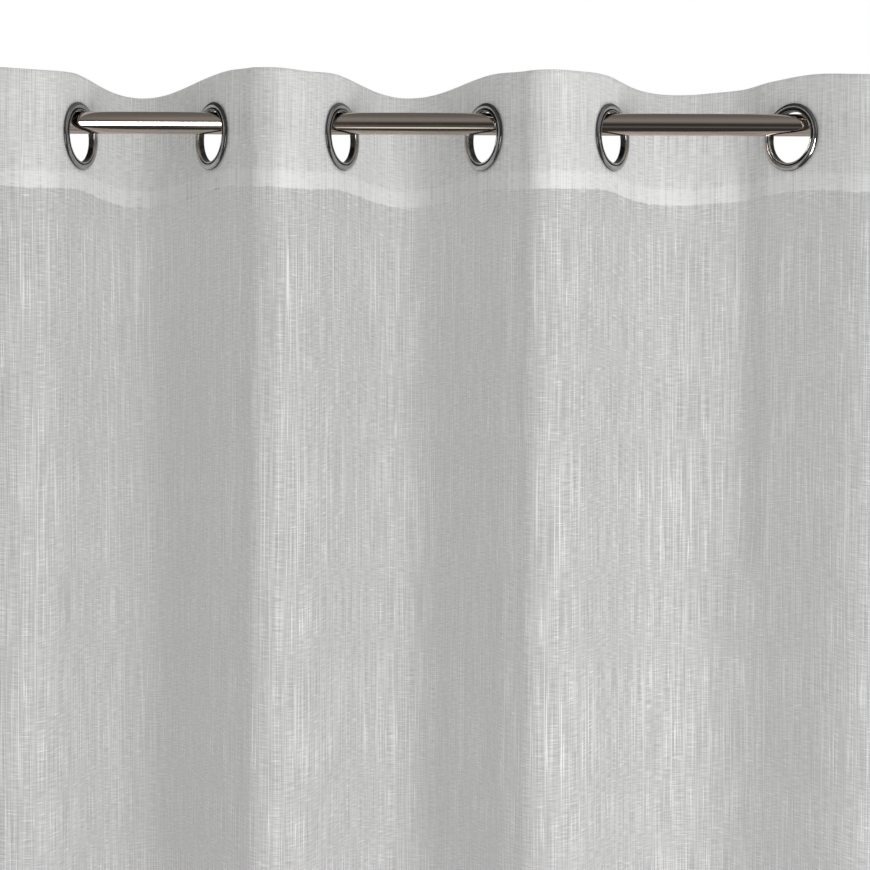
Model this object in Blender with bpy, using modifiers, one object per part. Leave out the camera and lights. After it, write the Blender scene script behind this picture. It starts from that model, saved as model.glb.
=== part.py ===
"""Sheer voile curtain on a curtain rod.

One width of voile hangs in soft folds from a plain metal rod. Its top is folded
over into a double heading, and eight pressed eyelets with washers clamp that
heading and thread it on the rod, so that the cloth runs in front of the rod and
behind it in turn.

Metres. The origin is on the rod's axis at its middle, +X runs along the rod to
the right as seen from the room, +Y points to the wall and +Z up.
"""
from collections import namedtuple
from math import cos, hypot, pi, radians, sin, tan

import bmesh
import bpy
from mathutils import Matrix, Vector

FIT_GAP = 0.0003               # left between pieces that touch

# Rod
ROD_RADIUS = 0.0095
ROD_LENGTH = 1.10
ROD_SIDES = 32

# Heading: the folded top of the cloth
HEADING_TOP = 0.041            # its upper edge beside an eyelet, above the rod's axis
HEADING_HEIGHT = 0.099
HEADING_THICKNESS = 0.002
FRONT_SAG = 0.009              # how far the cloth hangs lower half-way between eyelets,
BACK_SAG = 0.0045              # in a fold in front of the rod and in one behind it

# Panel: the single cloth below the heading
DROP = 2.40                    # heading's upper edge to the bottom edge
CLOTH_THICKNESS = 0.001
HEM_THICKNESS = 0.002
BOTTOM_HEM = 0.055
SIDE_HEM = 0.022
HEM_STEP = 0.002               # the width over which a hem thins out to the cloth
SIDE_MARGIN = 0.046            # cloth from an outer eyelet's centre to the side edge
PANEL_ROWS = 12

# Eyelets and washers
EYELET_FORWARD = 0.001         # centres stand this far in front of the rod's axis
EYELET_SEGMENTS = 24
PUNCH_RADIUS = 0.0232
PUNCH_DEPTH = 0.010
BARREL_RADIUS = 0.0220         # clear hole
BARREL_WALL = 0.0009
BARREL_BACK = -0.0031          # the barrel's rim on the wall side of the cloth's middle
BARREL_FRONT = 0.0022          # where the barrel turns out into the flange
FLANGE_RADIUS = 0.0300
FLANGE_HEIGHT = 0.0035
WASHER_RADIUS = 0.0294
WASHER_HEIGHT = 0.0030

# The folds. One row for each eyelet, from left to right: where it sits on the rod,
# the angle between cloth and rod there in degrees, and how far the fold to its
# right reaches, minus to the room and plus to the wall. The last two columns give
# the place and the angle of the same strip of cloth at the bottom edge.
Fold = namedtuple("Fold", "x angle reach bottom_x bottom_angle")
FOLDS = (
    Fold(-0.4180, 60, -0.056, -0.4050, 64),
    Fold(-0.3083, 72, 0.076, -0.2920, 68),
    Fold(-0.1928, 56, -0.069, -0.1960, 74),
    Fold(-0.0824, 64, 0.074, -0.0760, 66),
    Fold(0.0420, 58, -0.062, 0.0330, 74),
    Fold(0.1509, 56, 0.060, 0.1580, 66),
    Fold(0.3071, 49, -0.060, 0.2990, 66),
    Fold(0.4230, 60, 0.0, 0.4180, 60),
)
FLAT_HALF = 0.031              # cloth held flat to each side of an eyelet's centre
BOTTOM_FLAT_HALF = 0.020       # the same strip at the bottom edge, where nothing holds it
TURN_STEPS = 10                # straight pieces in the turn of one fold

PlanPoint = namedtuple("PlanPoint", "x y sag in_side_hem")


def material(name, colour, roughness, metallic):
    """A Principled material in one plain finish."""
    finish = bpy.data.materials.new(name)
    finish.use_nodes = True
    shader = finish.node_tree.nodes["Principled BSDF"]
    shader.inputs["Base Color"].default_value = (*colour, 1.0)
    shader.inputs["Roughness"].default_value = roughness
    shader.inputs["Metallic"].default_value = metallic
    return finish


def mix(start, end, share):
    """The value that lies the given share of the way from start to end."""
    return start + (end - start) * share


def slope_sign(index):
    """Plus where the cloth runs towards the wall as it passes an eyelet rightwards."""
    return 1 if FOLDS[max(index - 1, 0)].reach < 0 < index else -1


def strip_at(index, share):
    """Centre, direction and held half-width of the cloth at an eyelet's strip.

    share is 0 at the heading and 1 at the bottom edge.
    """
    fold = FOLDS[index]
    angle = radians(mix(fold.angle, fold.bottom_angle, share))
    centre = Vector((mix(fold.x, fold.bottom_x, share), -EYELET_FORWARD))
    direction = Vector((cos(angle), slope_sign(index) * sin(angle)))
    return centre, direction, mix(FLAT_HALF, BOTTOM_FLAT_HALF, share)


def turn_points(start, start_way, end, end_way, handle):
    """Points of the cubic turn between two held strips, both ends included."""
    corners = (start, start + start_way * handle, end - end_way * handle, end)
    points = []
    for step in range(TURN_STEPS + 1):
        t = step / TURN_STEPS
        weights = ((1 - t) ** 3, 3 * (1 - t) ** 2 * t, 3 * (1 - t) * t * t, t ** 3)
        points.append(sum((corner * weight for corner, weight in zip(corners, weights)),
                          Vector((0.0, 0.0))))
    return points


def length_of(points):
    """Length of the line through the points."""
    return sum((after - before).length for before, after in zip(points, points[1:]))


def fold_points(index, share):
    """The turn to the right of an eyelet, as wide in cloth at every height.

    At the heading the fold's reach sets how full the turn is. That fixes its length
    of cloth, and further down the fullness is found that uses the same length.
    """
    def ends(at):
        left, left_way, left_half = strip_at(index, at)
        right, right_way, right_half = strip_at(index + 1, at)
        start = left + left_way * left_half
        end = right - right_way * right_half
        return start, left_way, end, right_way, left_half + right_half

    start, start_way, end, end_way, held = ends(0.0)
    side = 1 if FOLDS[index].reach > 0 else -1
    rise = abs(FOLDS[index].reach) - side * (start.y + end.y) / 2
    handle = 8 * rise / (3 * (abs(start_way.y) + abs(end_way.y)))
    top_points = turn_points(start, start_way, end, end_way, handle)
    if share == 0:
        return top_points
    cloth = length_of(top_points) + held

    start, start_way, end, end_way, held = ends(share)
    least, most = 0.0, cloth
    for _ in range(30):
        handle = (least + most) / 2
        points = turn_points(start, start_way, end, end_way, handle)
        if length_of(points) + held < cloth:
            least = handle
        else:
            most = handle
    return points


def plan(share):
    """The cloth's middle line seen from above, from the left edge to the right."""
    line = []
    inner_hem = SIDE_MARGIN - SIDE_HEM
    left, left_way, _ = strip_at(0, share)
    for distance in (SIDE_MARGIN, inner_hem + HEM_STEP, inner_hem):
        point = left - left_way * distance
        line.append(PlanPoint(point.x, point.y, 0.0, distance > inner_hem))
    for index, fold in enumerate(FOLDS[:-1]):
        centre, _, held = strip_at(index, share)
        line.append(PlanPoint(centre.x, centre.y, 0.0, False))
        points = fold_points(index, share)
        cloth = length_of(points) + 2 * held
        most_sag = FRONT_SAG if fold.reach < 0 else BACK_SAG
        gone = held
        for number, point in enumerate(points):
            if number:
                gone += (point - points[number - 1]).length
            line.append(PlanPoint(point.x, point.y, most_sag * sin(pi * gone / cloth), False))
    right, right_way, _ = strip_at(len(FOLDS) - 1, share)
    for distance in (0.0, inner_hem, inner_hem + HEM_STEP, SIDE_MARGIN):
        point = right + right_way * distance
        line.append(PlanPoint(point.x, point.y, 0.0, distance > inner_hem))
    return line


def sheet_object(name, rows, finish):
    """A sheet through rows of points, its faces turned to the room."""
    mesh = bpy.data.meshes.new(name)
    shape = bmesh.new()
    grid = [[shape.verts.new(point) for point in row] for row in rows]
    for upper, lower in zip(grid, grid[1:]):
        for column in range(len(upper) - 1):
            shape.faces.new((lower[column], lower[column + 1],
                             upper[column + 1], upper[column])).smooth = True
    shape.to_mesh(mesh)
    shape.free()
    mesh.materials.append(finish)
    sheet = bpy.data.objects.new(name, mesh)
    parts.objects.link(sheet)
    return sheet


def turned_object(name, profile, finish, frame):
    """A ring turned from a closed profile of (radius, height) points."""
    mesh = bpy.data.meshes.new(name)
    corners = [(radius, 0.0, height) for radius, height in profile]
    edges = [(number, (number + 1) % len(corners)) for number in range(len(corners))]
    mesh.from_pydata(corners, edges, [])
    mesh.materials.append(finish)
    ring = bpy.data.objects.new(name, mesh)
    parts.objects.link(ring)
    ring.matrix_world = frame
    screw = ring.modifiers.new("Turn", "SCREW")
    screw.steps = EYELET_SEGMENTS
    screw.render_steps = EYELET_SEGMENTS
    screw.use_merge_vertices = True
    screw.merge_threshold = 0.00001
    screw.use_smooth_shade = True
    return ring


def seat_drop(angle):
    """How far an eyelet's centre hangs below the rod's axis when it rests on the rod.

    Seen along the eyelet's axis the rod is an ellipse, which moves sideways through
    the barrel's depth. The drop is the largest that keeps it clear of the barrel.
    """
    half_width = ROD_RADIUS / sin(angle)
    sideways = EYELET_FORWARD / sin(angle) + max(-BARREL_BACK, BARREL_FRONT) / tan(angle)
    least, most = 0.0, BARREL_RADIUS
    for _ in range(30):
        drop = (least + most) / 2
        furthest = max(hypot(sideways + half_width * cos(turn * pi / 180),
                             drop + ROD_RADIUS * sin(turn * pi / 180))
                       for turn in range(0, 91))
        if furthest < BARREL_RADIUS - FIT_GAP:
            least = drop
        else:
            most = drop
    return least


def eyelet_frame(index):
    """Place of an eyelet: local +Z points out of the cloth to the room."""
    centre, way, _ = strip_at(index, 0.0)
    across = Vector((way.x, way.y, 0.0))
    outward = Vector((way.y, -way.x, 0.0))
    drop = seat_drop(radians(FOLDS[index].angle))
    place = Matrix.Translation((centre.x, centre.y, -drop))
    turn = Matrix((across, Vector((0.0, 0.0, 1.0)), outward)).transposed()
    return place @ turn.to_4x4()


for old in list(bpy.data.objects):
    bpy.data.objects.remove(old, do_unlink=True)

parts = bpy.data.collections.new("Sheer_voile_curtain")
cutters = bpy.data.collections.new("Hole_punches")
bpy.context.scene.collection.children.link(parts)
bpy.context.scene.collection.children.link(cutters)

voile = material("Voile", (0.62, 0.62, 0.61), 0.90, 0.0)
nickel = material("Nickel", (0.36, 0.33, 0.30), 0.22, 1.0)
gunmetal = material("Gunmetal", (0.30, 0.30, 0.30), 0.20, 1.0)

# Rod: a plain round bar with flat ends, lying along X
rod_mesh = bpy.data.meshes.new("rod")
rod_shape = bmesh.new()
bmesh.ops.create_cone(rod_shape, cap_ends=True, segments=ROD_SIDES, radius1=ROD_RADIUS,
                      radius2=ROD_RADIUS, depth=ROD_LENGTH,
                      matrix=Matrix.Rotation(pi / 2, 4, "Y"))
rod_shape.to_mesh(rod_mesh)
rod_shape.free()
rod_mesh.shade_smooth()
rod_mesh.set_sharp_from_angle(angle=radians(40))
rod_mesh.materials.append(nickel)
parts.objects.link(bpy.data.objects.new("rod", rod_mesh))

# Heading: a stiff strip on the folds' line, punched for the eyelets
heading_line = plan(0.0)
heading_bottom = HEADING_TOP - HEADING_HEIGHT
heading = sheet_object("heading", [
    [(point.x, point.y, height - point.sag) for point in heading_line]
    for height in (HEADING_TOP, heading_bottom)], voile)
heading_body = heading.modifiers.new("Thickness", "SOLIDIFY")
heading_body.thickness = HEADING_THICKNESS
heading_body.offset = 0.0

for index in range(len(FOLDS)):
    bpy.ops.mesh.primitive_cylinder_add(vertices=EYELET_SEGMENTS, radius=PUNCH_RADIUS,
                                        depth=PUNCH_DEPTH)
    punch = bpy.context.object
    punch.name = f"punch_{index + 1}"
    punch.matrix_world = eyelet_frame(index)
    punch.hide_render = True
    punch.display_type = "WIRE"
    for home in list(punch.users_collection):
        home.objects.unlink(punch)
    cutters.objects.link(punch)

holes = heading.modifiers.new("Holes", "BOOLEAN")
holes.operation = "DIFFERENCE"
holes.operand_type = "COLLECTION"
holes.collection = cutters
holes.solver = "EXACT"

# Panel: single cloth from just under the heading to the bottom edge. Its side hems
# and bottom hem are the same cloth, turned over and so twice as thick.
panel_top = heading_bottom - FIT_GAP
panel_bottom = HEADING_TOP - DROP
hem_top = panel_bottom + BOTTOM_HEM
heights = [mix(panel_top, hem_top + HEM_STEP, row / (PANEL_ROWS - 1))
           for row in range(PANEL_ROWS)]
heights += [hem_top, panel_bottom]
panel_rows = []
hem_columns = [number for number, point in enumerate(heading_line) if point.in_side_hem]
for height in heights:
    share = (panel_top - height) / (panel_top - panel_bottom)
    panel_rows.append([(point.x, point.y, height - point.sag) for point in plan(share)])
panel = sheet_object("panel", panel_rows, voile)
hems = panel.vertex_groups.new(name="hems")
columns = len(heading_line)
for row in range(len(heights)):
    in_bottom_hem = heights[row] <= hem_top
    doubled = range(columns) if in_bottom_hem else hem_columns
    hems.add([row * columns + column for column in doubled], 1.0, "REPLACE")
panel_body = panel.modifiers.new("Thickness", "SOLIDIFY")
panel_body.thickness = HEM_THICKNESS
panel_body.offset = 0.0
panel_body.vertex_group = "hems"
panel_body.thickness_vertex_group = CLOTH_THICKNESS / HEM_THICKNESS

# Eyelets and washers: the barrel passes through the heading, and the flange and
# the washer press on its two faces
face = HEADING_THICKNESS / 2 + FIT_GAP
barrel_outer = BARREL_RADIUS + BARREL_WALL
eyelet_profile = (
    (BARREL_RADIUS + 0.0016, FLANGE_HEIGHT),
    (FLANGE_RADIUS - 0.0036, FLANGE_HEIGHT),
    (FLANGE_RADIUS - 0.0008, FLANGE_HEIGHT - 0.0012),
    (FLANGE_RADIUS, face),
    (barrel_outer, face),
    (barrel_outer, BARREL_BACK),
    (BARREL_RADIUS, BARREL_BACK),
    (BARREL_RADIUS, BARREL_FRONT),
)
washer_inner = barrel_outer + FIT_GAP
washer_profile = (
    (washer_inner, -face),
    (WASHER_RADIUS, -face),
    (WASHER_RADIUS - 0.0012, -WASHER_HEIGHT),
    (washer_inner, -WASHER_HEIGHT),
)
for index in range(len(FOLDS)):
    frame = eyelet_frame(index)
    turned_object(f"eyelet_{index + 1}", eyelet_profile, gunmetal, frame)
    turned_object(f"washer_{index + 1}", washer_profile, gunmetal, frame)
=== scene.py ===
"""Looks of a sheer voile curtain that hangs by pressed eyelets from a plain rod.

Metres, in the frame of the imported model: X along the rod, Y to the wall, Z up.
"""
from collections import namedtuple
from math import cos, hypot, pi, radians, sin, tan

import bpy
import numpy as np
from mathutils import Matrix, Vector


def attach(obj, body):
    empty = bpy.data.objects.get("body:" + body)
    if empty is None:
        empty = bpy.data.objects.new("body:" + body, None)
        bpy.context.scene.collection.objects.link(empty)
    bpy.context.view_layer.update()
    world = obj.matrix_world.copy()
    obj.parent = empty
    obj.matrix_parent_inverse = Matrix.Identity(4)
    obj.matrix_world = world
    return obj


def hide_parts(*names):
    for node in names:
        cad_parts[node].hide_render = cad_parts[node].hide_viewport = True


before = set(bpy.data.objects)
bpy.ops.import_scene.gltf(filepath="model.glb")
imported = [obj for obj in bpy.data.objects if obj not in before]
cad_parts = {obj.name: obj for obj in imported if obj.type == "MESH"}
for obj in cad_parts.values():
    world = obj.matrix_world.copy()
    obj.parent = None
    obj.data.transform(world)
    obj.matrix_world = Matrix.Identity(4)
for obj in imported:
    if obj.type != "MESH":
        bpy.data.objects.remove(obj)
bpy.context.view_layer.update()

bpy.ops.object.select_all(action="DESELECT")


# ------------------------------------------------------------------ the cloth
# One width of fine plain-woven voile with slub yarns. The top is folded to the back
# into a double heading with its raw edge turned in, the sides and the bottom are
# turned to the back as hems, and the cloth hangs in the folds that the rod gives it.

HEADING_TOP = 0.041
HEADING_HEIGHT = 0.099
TURN_IN = 0.014                # raw edge turned in between the heading's layers
LAYER_GAP = 0.0005             # from the heading's middle to either of its layers
HEM_GAP = 0.00033              # from a layer to the hem turned behind it
DROP = 2.40
BOTTOM_HEM = 0.055
SIDE_HEM = 0.022
SIDE_MARGIN = 0.046            # cloth from an outer eyelet's centre to the side edge
SAG_POWER = 2.0                # above 1 the edge runs level where an eyelet holds it
EYELET_FORWARD = 0.001         # eyelets' centres stand this far in front of the axis

# One row for each eyelet, from left to right: its place on the rod, the angle between
# cloth and rod there in degrees, and how far the fold to its right reaches, minus to
# the room and plus to the wall. Then the place and the angle of the same strip of cloth
# at the bottom edge, and how much lower the fold hangs than the eyelets: most of all at
# its middle where skew is 1, and further to the right the larger skew is.
Fold = namedtuple("Fold", "x angle reach bottom_x bottom_angle sag skew")
FOLDS = (
    Fold(-0.4180, 60, -0.056, -0.4050, 64, 0.0065, 1.40),
    Fold(-0.3083, 72, 0.076, -0.2920, 68, 0.0045, 0.80),
    Fold(-0.1928, 56, -0.069, -0.1960, 74, 0.0080, 1.25),
    Fold(-0.0824, 64, 0.074, -0.0760, 66, 0.0040, 1.00),
    Fold(0.0420, 58, -0.062, 0.0330, 74, 0.0070, 0.95),
    Fold(0.1509, 56, 0.060, 0.1580, 66, 0.0035, 0.65),
    Fold(0.3071, 49, -0.060, 0.2990, 66, 0.0095, 1.15),
    Fold(0.4230, 60, 0.0, 0.4180, 60, 0.0, 1.00),
)
FLAT_HALF = 0.031              # cloth held flat to each side of an eyelet's centre
BOTTOM_FLAT_HALF = 0.020       # the same at the bottom edge, where nothing holds it
TURN_STEPS = 60                # straight pieces in the turn of one fold
FULLNESS_STEPS = 24            # halvings in the search for a fold's fullness
PLAN_LEVELS = 12               # heights at which the folds are worked out
FOLD_COLUMNS = 52              # columns of points across one fold
MARGIN_COLUMNS = 10            # the same from an outer eyelet to the side edge
HEM_COLUMNS = 4                # and across a side hem

# Soft creases. Each lies so far beyond an eyelet along the cloth, rises to the room, or
# with a minus sinks to the wall, and wanders by its lean on the way down.
Crease = namedtuple("Crease", "eyelet beyond rise half_width top bottom lean")
CREASE_FADE = 0.12             # share of a crease's length over which each end fades
CREASES = (
    Crease(3, -0.008, 0.0018, 0.024, -0.02, -1.80, 0.006),
    Crease(3, 0.048, -0.0028, 0.022, 0.15, -1.50, 0.004),
    Crease(3, 0.071, 0.0014, 0.015, 0.30, -1.30, 0.004),
    Crease(4, 0.150, 0.0020, 0.026, -0.30, -1.90, 0.004),
    Crease(5, 0.008, -0.0022, 0.022, -0.30, -1.80, -0.003),
    Crease(5, 0.048, -0.0015, 0.020, 0.15, -1.60, 0.003),
    Crease(5, 0.066, 0.0012, 0.014, 0.30, -1.40, 0.003),
    Crease(2, 0.060, 0.0015, 0.030, -0.05, -1.20, 0.020),
    Crease(4, 0.085, 0.0015, 0.026, -0.05, -1.10, 0.010),
    Crease(6, 0.060, 0.0018, 0.030, -0.10, -1.60, -0.015),
    Crease(6, 0.120, -0.0015, 0.028, -0.08, -1.40, 0.012),
    Crease(6, 0.150, -0.0060, 0.032, 0.10, -0.40, 0.0),
)

seam = HEADING_TOP - HEADING_HEIGHT
bottom = HEADING_TOP - DROP


def mix(start, end, share):
    """The value that lies the given share of the way from start to end."""
    return start + (end - start) * share


def strip_at(index, share):
    """Centre, direction and held half-width of the cloth at an eyelet's strip."""
    fold = FOLDS[index]
    angle = radians(mix(fold.angle, fold.bottom_angle, share))
    slope = 1 if FOLDS[max(index - 1, 0)].reach < 0 < index else -1
    centre = np.array((mix(fold.x, fold.bottom_x, share), -EYELET_FORWARD))
    direction = np.array((cos(angle), slope * sin(angle)))
    return centre, direction, mix(FLAT_HALF, BOTTOM_FLAT_HALF, share)


def turn_points(start, start_way, end, end_way, handle):
    """Points of the cubic turn between two held strips, both ends included."""
    t = np.linspace(0, 1, TURN_STEPS + 1)[:, None]
    return ((1 - t) ** 3 * start + 3 * (1 - t) ** 2 * t * (start + start_way * handle)
            + 3 * (1 - t) * t ** 2 * (end - end_way * handle) + t ** 3 * end)


def length_of(points):
    """Length of the line through the points."""
    return np.hypot(*np.diff(points, axis=0).T).sum()


def fold_points(index, share):
    """The cloth's line from one eyelet's centre to the next, as long at every height."""
    def ends(at):
        left, left_way, left_half = strip_at(index, at)
        right, right_way, right_half = strip_at(index + 1, at)
        return left + left_way * left_half, left_way, right - right_way * right_half, right_way

    def with_centres(turn, at):
        return np.vstack((strip_at(index, at)[0], turn, strip_at(index + 1, at)[0]))

    start, start_way, end, end_way = ends(0.0)
    side = 1 if FOLDS[index].reach > 0 else -1
    rise = abs(FOLDS[index].reach) - side * (start[1] + end[1]) / 2
    handle = 8 * rise / (3 * (abs(start_way[1]) + abs(end_way[1])))
    top_line = with_centres(turn_points(start, start_way, end, end_way, handle), 0.0)
    if share == 0:
        return top_line
    least, most = 0.0, length_of(top_line)
    for _ in range(FULLNESS_STEPS):
        handle = (least + most) / 2
        line = with_centres(turn_points(*ends(share), handle), share)
        if length_of(line) < length_of(top_line):
            least = handle
        else:
            most = handle
    return line


fold_lengths = [length_of(fold_points(index, 0.0)) for index in range(len(FOLDS) - 1)]
eyelet_places = SIDE_MARGIN + np.concatenate(([0.0], np.cumsum(fold_lengths)))
cloth_width = eyelet_places[-1] + SIDE_MARGIN


def plan_line(share, places):
    """Points of the cloth's line seen from above, at places measured along the cloth."""
    ends = (strip_at(0, share), strip_at(len(FOLDS) - 1, share))
    line = [ends[0][0] - ends[0][1] * SIDE_MARGIN]
    along = [0.0]
    for index, cloth in enumerate(fold_lengths):
        points = fold_points(index, share)
        gone = np.concatenate(([0.0], np.cumsum(np.hypot(*np.diff(points, axis=0).T))))
        line.extend(points[:-1])
        along.extend(eyelet_places[index] + gone[:-1] * cloth / gone[-1])
    line.extend((ends[1][0], ends[1][0] + ends[1][1] * SIDE_MARGIN))
    along.extend((eyelet_places[-1], cloth_width))
    line = np.array(line)
    return np.stack([np.interp(places, along, line[:, axis]) for axis in (0, 1)], axis=1)


def sag_at(places):
    """How much lower the cloth hangs between two eyelets."""
    sag = np.zeros(len(places))
    for index, cloth in enumerate(fold_lengths):
        share = np.clip((places - eyelet_places[index]) / cloth, 0, 1)
        wave = np.sin(pi * share ** FOLDS[index].skew).clip(0, 1)
        sag += FOLDS[index].sag * wave ** SAG_POWER
    return sag


def crease_push(places, height):
    """How far the creases push the cloth towards the room at one height."""
    push = np.zeros(len(places))
    for crease in CREASES:
        gone = (crease.top - height) / (crease.top - crease.bottom)
        fade = min(gone, 1 - gone) / CREASE_FADE
        if fade > 0:
            fade = min(fade, 1.0)
            middle = eyelet_places[crease.eyelet - 1] + crease.beyond + crease.lean * gone
            away = np.clip((places - middle) / crease.half_width, -1, 1)
            push += crease.rise * fade * fade * (3 - 2 * fade) * (1 + np.cos(pi * away)) / 2
    return push


# Columns of the sheet, from the raw edge of the left hem to that of the right one:
# place along the hung cloth, place on the flat cloth, and 1 in a hem
front_places = [np.linspace(0, SIDE_MARGIN, MARGIN_COLUMNS, endpoint=False)]
for index, cloth in enumerate(fold_lengths):
    front_places.append(eyelet_places[index]
                        + np.linspace(0, cloth, FOLD_COLUMNS, endpoint=False))
front_places.append(eyelet_places[-1] + np.linspace(0, SIDE_MARGIN, MARGIN_COLUMNS + 1))
front_places = np.concatenate(front_places)
hem_places = np.linspace(SIDE_HEM, 0, HEM_COLUMNS, endpoint=False)
places = np.concatenate((hem_places, front_places, cloth_width - hem_places[::-1]))
flat_places = np.concatenate((-hem_places, front_places, cloth_width + hem_places[::-1]))
in_side_hem = np.zeros(len(places))
in_side_hem[:HEM_COLUMNS] = 1
in_side_hem[-HEM_COLUMNS:] = 1

# Rows, from the raw edge turned in at the heading over the top to the bottom hem:
# height, place on the flat cloth, how far to the room, and which way a hem lies
Row = namedtuple("Row", "height flat forward hem_way")
TURN_IN_ROWS = 5
HEADING_ROWS = 32
FINE_ROWS = 75
COARSE_ROWS = 60
HEM_ROWS = 6
FINE_BOTTOM = -0.75            # the rows lie closer together down to this height
ROW_STEP = 0.020               # from the last fine row to the first coarse one
EDGE = 0.0005                  # height over which the cloth turns round an edge
SEAM_STEP = 0.006              # from the heading's seam to the next row
SEAM_EASE = 0.03               # height over which the panel comes back from the seam
HEM_DEPTH = 0.0006             # from the panel to the bottom hem behind it

rows = []
for height in np.linspace(seam + TURN_IN, seam + EDGE, TURN_IN_ROWS):
    rows.append(Row(height, seam + TURN_IN - height, 0.0, -0.5))
flat = TURN_IN
for height in np.linspace(seam, HEADING_TOP - EDGE, HEADING_ROWS):
    rows.append(Row(height, flat + height - seam, -LAYER_GAP, 1.0))
flat += HEADING_HEIGHT
rows.append(Row(HEADING_TOP, flat, 0.0, 0.0))
for height in np.linspace(HEADING_TOP - EDGE, seam, HEADING_ROWS):
    rows.append(Row(height, flat + HEADING_TOP - height, LAYER_GAP, -1.0))
for height in np.linspace(seam - SEAM_STEP, FINE_BOTTOM, FINE_ROWS):
    forward = LAYER_GAP * max(0.0, 1 - (seam - height) / SEAM_EASE)
    rows.append(Row(height, flat + HEADING_TOP - height, forward, -1.0))
for height in np.linspace(FINE_BOTTOM - ROW_STEP, bottom + EDGE, COARSE_ROWS):
    rows.append(Row(height, flat + HEADING_TOP - height, 0.0, -1.0))
flat += DROP
rows.append(Row(bottom, flat, -HEM_DEPTH / 2, 0.0))
for height in np.linspace(bottom + EDGE, bottom + BOTTOM_HEM, HEM_ROWS):
    rows.append(Row(height, flat + height - bottom, -HEM_DEPTH, 1.0))

# The sheet's points: the folds' line at each row's height, with the layers, hems and
# creases set off it squarely, and the sag taken off the height
levels = np.linspace(0, 1, PLAN_LEVELS)
spread = 0.0005                # half the step over which the cloth's facing is measured
level_points = np.array([plan_line(share, places) for share in levels])
level_ways = np.array([plan_line(share, np.minimum(places + spread, cloth_width))
                       - plan_line(share, np.maximum(places - spread, 0))
                       for share in levels])
sags = sag_at(places)
points = []
for row in rows:
    share = min(1.0, max(0.0, (seam - row.height) / (seam - bottom)))
    level = min(int(share * (PLAN_LEVELS - 1)), PLAN_LEVELS - 2)
    part = share * (PLAN_LEVELS - 1) - level
    line = mix(level_points[level], level_points[level + 1], part)
    way = mix(level_ways[level], level_ways[level + 1], part)
    way /= np.hypot(*way.T)[:, None]
    outward = np.stack((way[:, 1], -way[:, 0]), axis=1)
    forward = row.forward + in_side_hem * row.hem_way * HEM_GAP
    forward = forward + crease_push(places, row.height)
    line = line + outward * forward[:, None]
    points.append(np.column_stack((line, row.height - sags)))
points = np.array(points)

# The mesh, with a map that gives each point's place on the flat cloth in metres
columns = len(places)
faces = [(row * columns + column, row * columns + column + 1,
          (row + 1) * columns + column + 1, (row + 1) * columns + column)
         for row in range(len(rows) - 1) for column in range(columns - 1)]
cloth_mesh = bpy.data.meshes.new("curtain")
cloth_mesh.from_pydata(points.reshape(-1, 3).tolist(), [], faces)
flat_points = np.array([(place, row.flat) for row in rows for place in flat_places])
corners = np.array([loop.vertex_index for loop in cloth_mesh.loops])
cloth_map = cloth_mesh.uv_layers.new(name="Cloth")
cloth_map.data.foreach_set("uv", flat_points[corners].astype(np.float32).ravel())
curtain = bpy.data.objects.new("curtain", cloth_mesh)
bpy.context.scene.collection.objects.link(curtain)


class Value:
    """A socket in a tree of nodes, so that sums of values are written as sums."""

    def __init__(self, nodes, socket):
        self.nodes = nodes
        self.socket = socket

    def maths(self, operation, *values):
        """A Math node's result."""
        return self.nodes.node("Math", {"operation": operation}, dict(enumerate(values)))

    def __add__(self, other):
        return self.maths("ADD", self, other)

    def __sub__(self, other):
        return self.maths("SUBTRACT", self, other)

    def __rsub__(self, other):
        return self.maths("SUBTRACT", other, self)

    def __mul__(self, other):
        return self.maths("MULTIPLY", self, other)

    __radd__ = __add__
    __rmul__ = __mul__

    def rise(self, low, high):
        """0 below low and 1 above high, with a soft step between them."""
        return self.nodes.node("MapRange", {"interpolation_type": "SMOOTHSTEP"},
                               {"Value": self, "From Min": low, "From Max": high})


class Nodes:
    """The nodes of a material or of the world, added one by one."""

    def __init__(self, owner):
        owner.use_nodes = True
        self.owner = owner
        self.tree = owner.node_tree

    def plug(self, value, socket):
        """Links a value to a socket, or sets a plain one on it."""
        if isinstance(value, Value):
            self.tree.links.new(value.socket, socket)
        else:
            socket.default_value = value

    def node(self, kind, settings=(), sockets=(), output=0):
        """Adds a node with its settings and the values or links of its sockets."""
        node = self.tree.nodes.new("ShaderNode" + kind)
        for name, value in dict(settings).items():
            if name == "stops":
                ramp = node.color_ramp.elements
                while len(ramp) < len(value):
                    ramp.new(1.0)
                for stop, (place, grey) in zip(ramp, value):
                    stop.position = place
                    stop.color = (grey, grey, grey, 1)
            else:
                setattr(node, name, value)
        for name, value in dict(sockets).items():
            self.plug(value, node.inputs[name])
        return Value(self, node.outputs[output])

    def blend(self, share, start, end):
        """A colour that lies the given share of the way from start to end."""
        return self.node("Mix", {"data_type": "RGBA"}, {0: share, 6: start, 7: end}, 2)

    def surface(self, sockets):
        """Sets the sockets of the Principled shader and returns its result."""
        shader = self.tree.nodes["Principled BSDF"]
        for name, value in sockets.items():
            self.plug(value, shader.inputs[name])
        return Value(self, shader.outputs[0])


# Voile: fine matt yarns with open gaps between them, so that light passes straight
# through and also scatters through from behind
BLACK = (0, 0, 0, 1)
YARN_WHITE = (1.0, 1.0, 0.995, 1)
GLOW = (0.70, 0.70, 0.696, 1)  # of the light that scatters through
PALENESS = 0.525               # share of white in the single cloth's yarns
COVER = 0.80                   # share of what lies behind that single cloth hides
THROUGH = 0.30                 # share of the light that comes from behind
SEAM_BLUR = 0.001              # half the width of the step at the heading's seam

voile = Nodes(bpy.data.materials.new("Voile"))
on_cloth = voile.node("UVMap", {"uv_map": "Cloth"})


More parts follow.
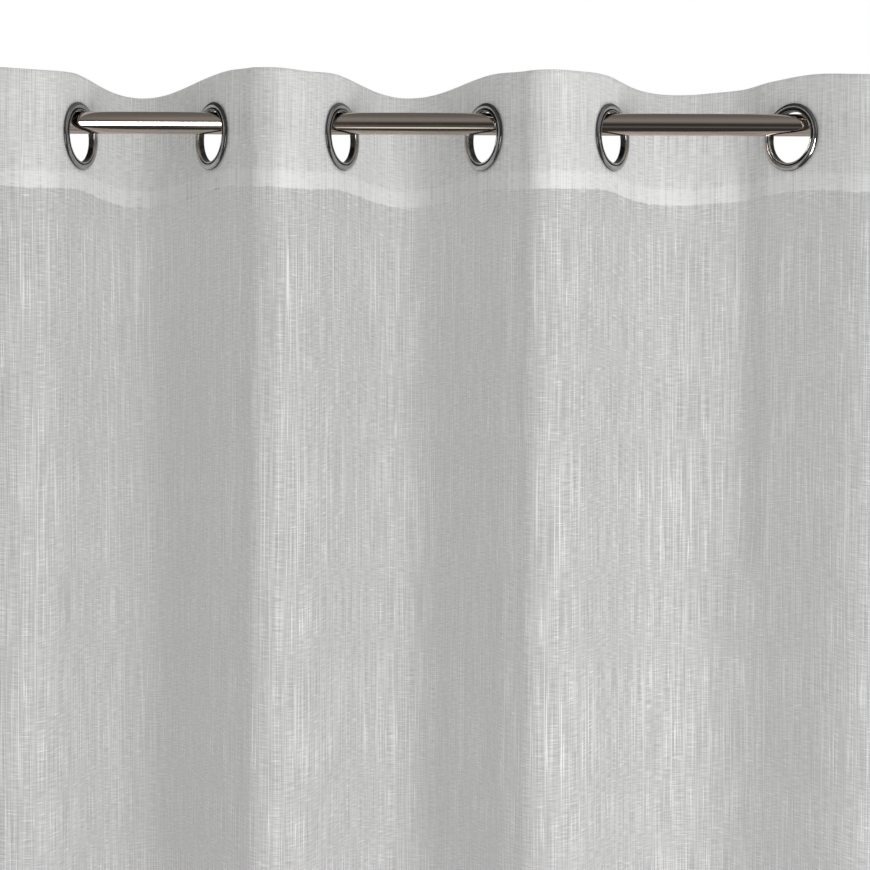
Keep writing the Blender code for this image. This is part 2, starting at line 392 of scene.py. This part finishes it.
def grain(across, along, offset, detail=0.0):
    """Noise round 0 with grains so wide across the cloth and so long along it."""
    stretched = voile.node("VectorMath", {"operation": "MULTIPLY_ADD"},
                           {0: on_cloth, 1: (1 / across, 1 / along, 1),
                            2: (offset, offset, 0)})
    return voile.node("TexNoise", {"noise_dimensions": "2D"},
                      {"Vector": stretched, "Scale": 1.0, "Detail": detail}) - 0.5


# Yarns of uneven thickness both ways, and slubs that stand out as pale streaks
patches = grain(0.014, 0.120, 23.0, 1.0)
warp = grain(0.0010, 0.060, 3.0) + patches * 0.06
weft = grain(0.011, 0.0009, 11.0) * (0.85 + patches * 0.8)
long_slubs = (grain(0.0010, 0.190, 31.0) + patches * 0.04).rise(0.27, 0.34)
short_slubs = (grain(0.0010, 0.055, 47.0) + patches * 0.04).rise(0.26, 0.34)
weft_slubs = grain(0.014, 0.0009, 59.0).rise(0.25, 0.33)
slubs = long_slubs * 1.5 + short_slubs * 0.7 + weft_slubs * 0.4

# 1 where the cloth lies double, and where the turned-in edge makes it three layers,
# by the place along the flat cloth from its raw edge
down = voile.node("SeparateXYZ", (), {0: on_cloth}, 1)
front_seam = TURN_IN + 2 * HEADING_HEIGHT
double = 1 - down.rise(front_seam - SEAM_BLUR, front_seam + SEAM_BLUR)
triple = double * down.rise(front_seam - TURN_IN - 0.003, front_seam - TURN_IN + 0.002)

# Thicker yarns are paler and cover more; two layers even each other out. Where the cloth lies
# double it is painted paler, and more where it lies triple: painted light that stands in for
# the light the stacked layers scatter back through each other.
texture = warp * 1.1 + weft * 0.9 + slubs * 1.3
texture = texture * (1 - double * 0.55)
# Painted light: the heading's layers are made paler by the double and triple masks
paleness_with_painted_light = PALENESS * (1 + texture) * (1 + double * 0.62 + triple * 0.30)
cloth_colour = voile.blend(paleness_with_painted_light, BLACK, YARN_WHITE)
cover = COVER + texture * 0.20
relief = warp * 0.6 + weft * 0.5 + slubs * 0.6
weave_bump = voile.node("Bump", (), {"Strength": 0.25, "Distance": 0.0004, "Height": relief})
yarns = voile.surface({"Base Color": cloth_colour, "Alpha": cover.maths("MINIMUM", cover, 1.0),
                       "Roughness": 0.85, "Normal": weave_bump, "Specular IOR Level": 0.2,
                       "Sheen Weight": 0.12, "Sheen Roughness": 0.5})

# Part of the light comes through from behind, and less where the cloth lies double
through_share = THROUGH - double * 0.06 - triple * 0.12
through = voile.node("BsdfTranslucent", (), {"Color": GLOW})
both = voile.node("MixShader", (), {"Fac": through_share, 1: yarns, 2: through})
voile.plug(both, voile.tree.nodes["Material Output"].inputs["Surface"])

cloth_mesh.materials.append(voile.owner)
cloth_mesh.shade_smooth()

# The holes for the eyelets, which hang on the rod, are punched through both layers
FIT_GAP = 0.0003               # left between an eyelet and the rod
ROD_RADIUS = 0.0095
BARREL_RADIUS = 0.0220         # of the clear hole in an eyelet
BARREL_BACK = -0.0031          # the barrel's rim on the wall side of the cloth's middle
BARREL_FRONT = 0.0022          # where the barrel turns out into the flange
HOLE_RADIUS = 0.0255           # the cloth is cut away this far under the flange
SEAT_STEPS = 30                # halvings in the search for the place where it rests


def eyelet_drop(angle):
    """How far an eyelet's centre hangs below the rod's axis when it rests on the rod."""
    half_width = ROD_RADIUS / sin(angle)
    sideways = EYELET_FORWARD / sin(angle) + max(-BARREL_BACK, BARREL_FRONT) / tan(angle)
    least, most = 0.0, BARREL_RADIUS
    for _ in range(SEAT_STEPS):
        drop = (least + most) / 2
        furthest = max(hypot(sideways + half_width * cos(radians(turn)),
                             drop + ROD_RADIUS * sin(radians(turn)))
                       for turn in range(0, 91))
        if furthest < BARREL_RADIUS - FIT_GAP:
            least = drop
        else:
            most = drop
    return least


def eyelet_frame(index):
    """Place of an eyelet: local +Z points out of the cloth to the room."""
    centre, way, _ = strip_at(index, 0.0)
    across = Vector((way[0], way[1], 0.0))
    outward = Vector((way[1], -way[0], 0.0))
    drop = eyelet_drop(radians(FOLDS[index].angle))
    turn = Matrix((across, Vector((0.0, 0.0, 1.0)), outward)).transposed()
    return Matrix.Translation((centre[0], centre[1], -drop)) @ turn.to_4x4()


def edit_faces(piece, wanted):
    """Opens a piece for editing with only the wanted faces selected."""
    bpy.ops.object.select_all(action="DESELECT")
    bpy.context.view_layer.objects.active = piece
    piece.select_set(True)
    bpy.ops.object.mode_set(mode="EDIT")
    bpy.ops.mesh.select_mode(type="FACE")
    bpy.ops.mesh.select_all(action="DESELECT")
    bpy.ops.object.mode_set(mode="OBJECT")
    piece.data.polygons.foreach_set("select", wanted)
    bpy.ops.object.mode_set(mode="EDIT")


face_centres = np.empty(len(cloth_mesh.polygons) * 3)
cloth_mesh.polygons.foreach_get("center", face_centres)
face_centres = face_centres.reshape(-1, 3)
punched = np.zeros(len(face_centres), bool)
for index in range(len(FOLDS)):
    centre = np.array(eyelet_frame(index).translation)
    punched |= np.linalg.norm(face_centres - centre, axis=1) < HOLE_RADIUS
edit_faces(curtain, punched)
bpy.ops.mesh.delete(type="FACE")
bpy.ops.object.mode_set(mode="OBJECT")

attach(curtain, "root")
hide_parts("heading", "panel")


# ---------------------------------------------------------- eyelets and washers
# Pressed rings of thin brass plated with dark nickel. The eyelet's barrel passes
# through the heading from the room side and is rolled over the washer behind it.

RING_SIDES = 96


def arc(radius, height, reach, start, end, steps):
    """Points round (radius, height) of a ring's section, with angles in degrees."""
    return [(radius + reach * cos(radians(mix(start, end, step / steps))),
             height + reach * sin(radians(mix(start, end, step / steps))))
            for step in range(steps + 1)]


# Round the section of the metal: under the flange, its rolled edge, the dome, a groove,
# the lip, down the barrel, and the rim rolled over behind
eyelet_profile = (
    [(0.0229, -0.0013), (0.0229, 0.0013), (0.0262, 0.0013)]
    + arc(0.0284, 0.0020, 0.0007, -90, 50, 6)
    + arc(0.0264, 0.0004, 0.0032, 45, 135, 10)
    + [(0.0240, 0.0024), (0.0237, 0.0023), (0.0235, 0.0026)]
    + arc(0.0228, 0.0026, 0.0008, 20, 180, 8)
    + [(0.0220, 0.0020), (0.0220, -0.0020)]
    + arc(0.02255, -0.0024, 0.00055, 180, 345, 6)
)
# The washer's underside starts outside its rim, so its section crosses itself there and
# its faces point inwards; with -56 in place of -45 they point outwards
washer_profile = (
    [(0.0232, -0.0013), (0.0282, -0.0013)]
    + arc(0.0284, -0.0018, 0.0005, 80, -50, 4)
    + arc(0.0262, 0.0010, 0.0039, -45, -135, 8)
    + [(0.0233, -0.0022)]
)


def pressed_ring(name, profile):
    """A ring drawn up from a circle, one extruded edge loop for each profile point."""
    bpy.ops.object.select_all(action="DESELECT")
    bpy.ops.mesh.primitive_circle_add(vertices=RING_SIDES, radius=profile[0][0],
                                      location=(0, 0, profile[0][1]))
    ring = bpy.context.object
    ring.name = name
    bpy.ops.object.transform_apply(location=True)
    bpy.ops.object.mode_set(mode="EDIT")
    bpy.ops.mesh.select_mode(type="EDGE")
    bpy.ops.mesh.select_all(action="SELECT")
    for before, after in zip(profile, profile[1:]):
        bpy.ops.mesh.extrude_region_move(
            TRANSFORM_OT_translate={"value": (0, 0, after[1] - before[1])})
        grow = after[0] / before[0]
        bpy.ops.transform.resize(value=(grow, grow, 1), center_override=(0, 0, 0))
    bpy.ops.mesh.select_all(action="DESELECT")
    bpy.ops.mesh.select_non_manifold()
    bpy.ops.mesh.bridge_edge_loops()
    bpy.ops.mesh.select_all(action="SELECT")
    bpy.ops.mesh.normals_make_consistent(inside=False)
    bpy.ops.object.mode_set(mode="OBJECT")
    bpy.ops.object.shade_smooth_by_angle(angle=radians(50))
    return ring


# Painted shade: the plating is painted blacker in the groove, round the outer edge, inside the
# barrel and where metal faces cloth, where shade falls in these recesses and under the edge;
# in the groove it is partly tarnish too.
GROOVE = (0.0234, 0.0242)      # radii between which the groove lies
OUTER_EDGE = 0.0288            # radius past which the rolled edge turns under
WALL_RADIUS = 0.02205          # the barrel's inside lies within this radius
WALL_REACH = 0.0025            # and within this distance of the cloth's middle
CLOTH_SIDE = 0.0017            # metal nearer to the middle than this faces cloth


def add_tarnish_and_shade(ring):
    """Stores where the plating is painted dark at each point of the ring: painted shade in its
    recesses and on the cloth side, with some tarnish in the groove.
    """
    layer = ring.data.attributes.new("tarnish", "FLOAT", "POINT")
    for point, value in zip(ring.data.vertices, layer.data):
        radius = hypot(point.co.x, point.co.y)
        from_middle = abs(point.co.z)
        grooved = GROOVE[0] < radius < GROOVE[1] or radius > OUTER_EDGE
        inside = radius < WALL_RADIUS and from_middle < WALL_REACH
        hidden = from_middle < CLOTH_SIDE
        value.value = 1.0 if grooved or inside or hidden else 0.0


# Dark nickel: smudged by fingers, with hair-fine scratches
DULL_PLATING = (0.50, 0.50, 0.495, 1)
BRIGHT_PLATING = (0.62, 0.62, 0.61, 1)
# Colour of the painted shade in the recesses, with some tarnish in the groove
TARNISH_AND_SHADE = (0.10, 0.10, 0.10, 1)
gunmetal = Nodes(bpy.data.materials.new("Dark nickel"))
around = gunmetal.node("TexCoord", (), (), 3)
tarnish = gunmetal.node("Attribute", {"attribute_name": "tarnish"}, (), 2)
smudges = gunmetal.node("TexNoise", (), {"Vector": around, "Scale": 90.0, "Detail": 4.0})
scratches = gunmetal.node("TexNoise", (), {"Vector": around, "Scale": 1400.0, "Detail": 2.0})
plating = gunmetal.blend(smudges.rise(0.35, 0.7), DULL_PLATING, BRIGHT_PLATING)
# The plating is painted nearly black where the mask marks shade in the recesses and on the
# cloth side
gunmetal.surface({
    "Base Color": gunmetal.blend(tarnish, plating, TARNISH_AND_SHADE),
    "Metallic": 1.0,
    "Roughness": 0.10 + smudges.rise(0.45, 0.75) * 0.07,
    "Normal": gunmetal.node("Bump", (), {"Strength": 0.05, "Distance": 0.0001,
                                         "Height": scratches}),
})

# Each ring is pressed once and copied to its place in the heading
eyelet = pressed_ring("eyelet", eyelet_profile)
washer = pressed_ring("washer", washer_profile)
add_tarnish_and_shade(eyelet)
add_tarnish_and_shade(washer)
for index in range(len(FOLDS)):
    for pattern, kind in ((eyelet, "eyelet"), (washer, "washer")):
        mesh = pattern.data.copy()
        mesh.transform(eyelet_frame(index))
        mesh.materials.append(gunmetal.owner)
        ring = bpy.data.objects.new(f"pressed_{kind}_{index + 1}", mesh)
        bpy.context.scene.collection.objects.link(ring)
        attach(ring, "root")
        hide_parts(f"{kind}_{index + 1}")
bpy.data.objects.remove(eyelet)
bpy.data.objects.remove(washer)


# -------------------------------------------------------------------- the rod
# A plain 19 mm steel tube plated with polished nickel, with flat plugs in its ends.
# The brackets that carry it near both ends belong to the wall and aren't built.

ROD_LENGTH = 1.10
ROD_SIDES = 128
ROD_EDGE = 0.0006              # rounding of the cut edge
PLUG_INSET = 0.0009            # the tube's wall round the plug
PLUG_DEPTH = 0.0003            # the plug lies this deep in the tube

bpy.ops.object.select_all(action="DESELECT")
bpy.ops.mesh.primitive_cylinder_add(vertices=ROD_SIDES, radius=ROD_RADIUS,
                                    depth=ROD_LENGTH, rotation=(0, pi / 2, 0))
rod = bpy.context.object
rod.name = "polished_rod"
bpy.ops.object.transform_apply(rotation=True)

# Both end faces are rounded at the rim and then sunk for the plugs
edit_faces(rod, [abs(face.normal.x) > 0.9 for face in rod.data.polygons])
bpy.ops.mesh.bevel(offset=ROD_EDGE, segments=3)
bpy.ops.object.mode_set(mode="OBJECT")
edit_faces(rod, [abs(face.normal.x) > 0.99 for face in rod.data.polygons])
bpy.ops.mesh.inset(thickness=PLUG_INSET)
bpy.ops.mesh.inset(thickness=PLUG_DEPTH, depth=-PLUG_DEPTH)
bpy.ops.object.mode_set(mode="OBJECT")
bpy.ops.object.shade_smooth_by_angle(angle=radians(35))

# Polished nickel with a warm tint and fine lines drawn along the tube
DARK_LINE = (0.60, 0.51, 0.43, 1)
PALE_LINE = (0.70, 0.605, 0.52, 1)
nickel = Nodes(bpy.data.materials.new("Polished nickel"))
on_rod = nickel.node("TexCoord", (), (), 3)
along_rod = nickel.node("VectorMath", {"operation": "MULTIPLY"},
                        {0: on_rod, 1: (3.0, 900.0, 900.0)})
lines = nickel.node("TexNoise", (), {"Vector": along_rod, "Scale": 1.0, "Detail": 2.0})
wear = nickel.node("TexNoise", (), {"Vector": on_rod, "Scale": 45.0, "Detail": 4.0})
nickel.surface({
    "Base Color": nickel.blend(lines, DARK_LINE, PALE_LINE),
    "Metallic": 1.0,
    "Roughness": 0.05 + wear.rise(0.45, 0.75) * 0.04 + lines * 0.03,
    "Normal": nickel.node("Bump", (), {"Strength": 0.08, "Distance": 0.0001,
                                       "Height": lines}),
})
rod.data.materials.append(nickel.owner)
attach(rod, "root")
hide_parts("rod")


# ------------------------------------------------------------------ the studio
# A pale floor in a white room, lit by one tall soft light low in front on the right.
# The polished metal mirrors a darker room, with one tall light in front on the left.

FLOOR_SIZE = 5.0
FLOOR_GAP = 0.004              # from the floor to the curtain's bottom edge
bpy.ops.object.select_all(action="DESELECT")
bpy.ops.mesh.primitive_plane_add(size=FLOOR_SIZE, location=(0, 0, bottom - FLOOR_GAP))
floor = bpy.context.object
floor.name = "floor"
paving = Nodes(bpy.data.materials.new("Pale floor"))
paving.surface({"Base Color": (0.80, 0.80, 0.79, 1), "Roughness": 0.9})
floor.data.materials.append(paving.owner)
floor.visible_glossy = False

# The room is drawn by the way a ray goes: its height from 0 straight down to 1 straight
# up, how far it turns to the right, and how far to the wall
room = bpy.data.worlds.new("Studio")
bpy.context.scene.world = room
studio = Nodes(room)
direction = studio.node("TexCoord")
height = studio.node("SeparateXYZ", (), {0: direction}, 2)
height = height * 0.5 + 0.5
side = studio.node("SeparateXYZ", (), {0: direction}, 0)
to_wall = studio.node("SeparateXYZ", (), {0: direction}, 1)

# What the metal mirrors: bands of grey on the room's side and on the wall's, and a
# short bright band low in front, which is narrower on its left
front = studio.node("ValToRGB", {"stops": (
    (0.0, 0.10), (0.02, 0.08), (0.04, 0.03), (0.08, 0.05), (0.15, 0.05), (0.21, 0.14),
    (0.28, 0.11), (0.36, 0.035), (0.45, 0.05), (0.54, 0.10), (0.62, 0.22), (0.74, 0.31),
    (0.86, 0.28), (0.94, 0.22), (1.0, 0.17))}, {"Fac": height})
to_left = 1 - side.rise(-0.12, -0.06)
low_band = height.rise(0.065, 0.085) * (1 - to_left) + height.rise(0.115, 0.135) * to_left
low_band = low_band * (1 - height.rise(0.14, 0.155)) * (1 - side.rise(0.03, 0.07))
low_band = low_band * side.rise(-0.24, -0.20)
front = studio.blend(low_band, front, (1.15, 1.15, 1.15, 1))
back = studio.node("ValToRGB", {"stops": (
    (0.0, 0.15), (0.02, 0.34), (0.07, 0.50), (0.20, 0.40), (0.50, 0.40), (0.68, 0.15),
    (1.0, 0.17))}, {"Fac": height})
mirrored = studio.blend(to_wall.rise(-0.1, 0.25), front, back)

# The rings that face left mirror a darker corner of the room, high up
dim = (1 - side.rise(-0.45, -0.22)) * height.rise(0.45, 0.58)
mirrored = studio.blend(dim * 0.8, mirrored, (0.02, 0.02, 0.02, 1))

# The cloth is lit by the room itself, which is paler below, and the backdrop is white
glossy = studio.node("LightPath", (), (), 3)
seen = studio.node("LightPath", (), (), 0)
ambient = studio.blend(height.rise(0.15, 0.65), (0.78, 0.78, 0.78, 1),
                       (0.56, 0.56, 0.56, 1))
lit = studio.blend(glossy, ambient, mirrored)
shown = studio.blend(seen, lit, (1, 1, 1, 1))
studio.plug(shown, studio.tree.nodes["Background"].inputs["Color"])


def soft_light(name, place, aim, size, watts):
    """A rectangular area light at a place, turned to a point."""
    light = bpy.data.lights.new(name, "AREA")
    light.shape = "RECTANGLE"
    light.size, light.size_y = size
    light.energy = watts
    lamp = bpy.data.objects.new(name, light)
    lamp.location = place
    lamp.rotation_euler = (Vector(aim) - Vector(place)).to_track_quat("-Z", "Y").to_euler()
    bpy.context.scene.collection.objects.link(lamp)
    return lamp


key = soft_light("key", place=(1.10, -1.50, -1.20), aim=(0, 0, -0.3), size=(0.7, 2.2),
                 watts=27.5)
key.visible_glossy = False
strip = soft_light("strip", place=(-0.95, -2.3, -0.75), aim=(-0.2, 0, 0), size=(0.9, 1.5),
                   watts=40)
strip.visible_diffuse = False
strip.visible_transmission = False

# The camera stands below the heading and looks straight at the wall
PICTURE_SIDE = 870
PICTURE_SHIFT = 50             # pixels that the view is shifted up to the heading
CAMERA_LENS = 78.62
CAMERA_PLACE = (0, -1.6416, -0.3119)
CAMERA_ROLL = -0.0036          # the rod falls this much to the right in the picture
camera_data = bpy.data.cameras.new("camera")
camera_data.lens = CAMERA_LENS
camera_data.shift_y = PICTURE_SHIFT / PICTURE_SIDE
camera = bpy.data.objects.new("camera", camera_data)
camera.location = CAMERA_PLACE
camera.rotation_euler = (pi / 2, CAMERA_ROLL, 0)
bpy.context.scene.collection.objects.link(camera)
bpy.context.scene.camera = camera
bpy.context.scene.view_settings.view_transform = "Standard"
bpy.context.scene.cycles.transparent_max_bounces = 40
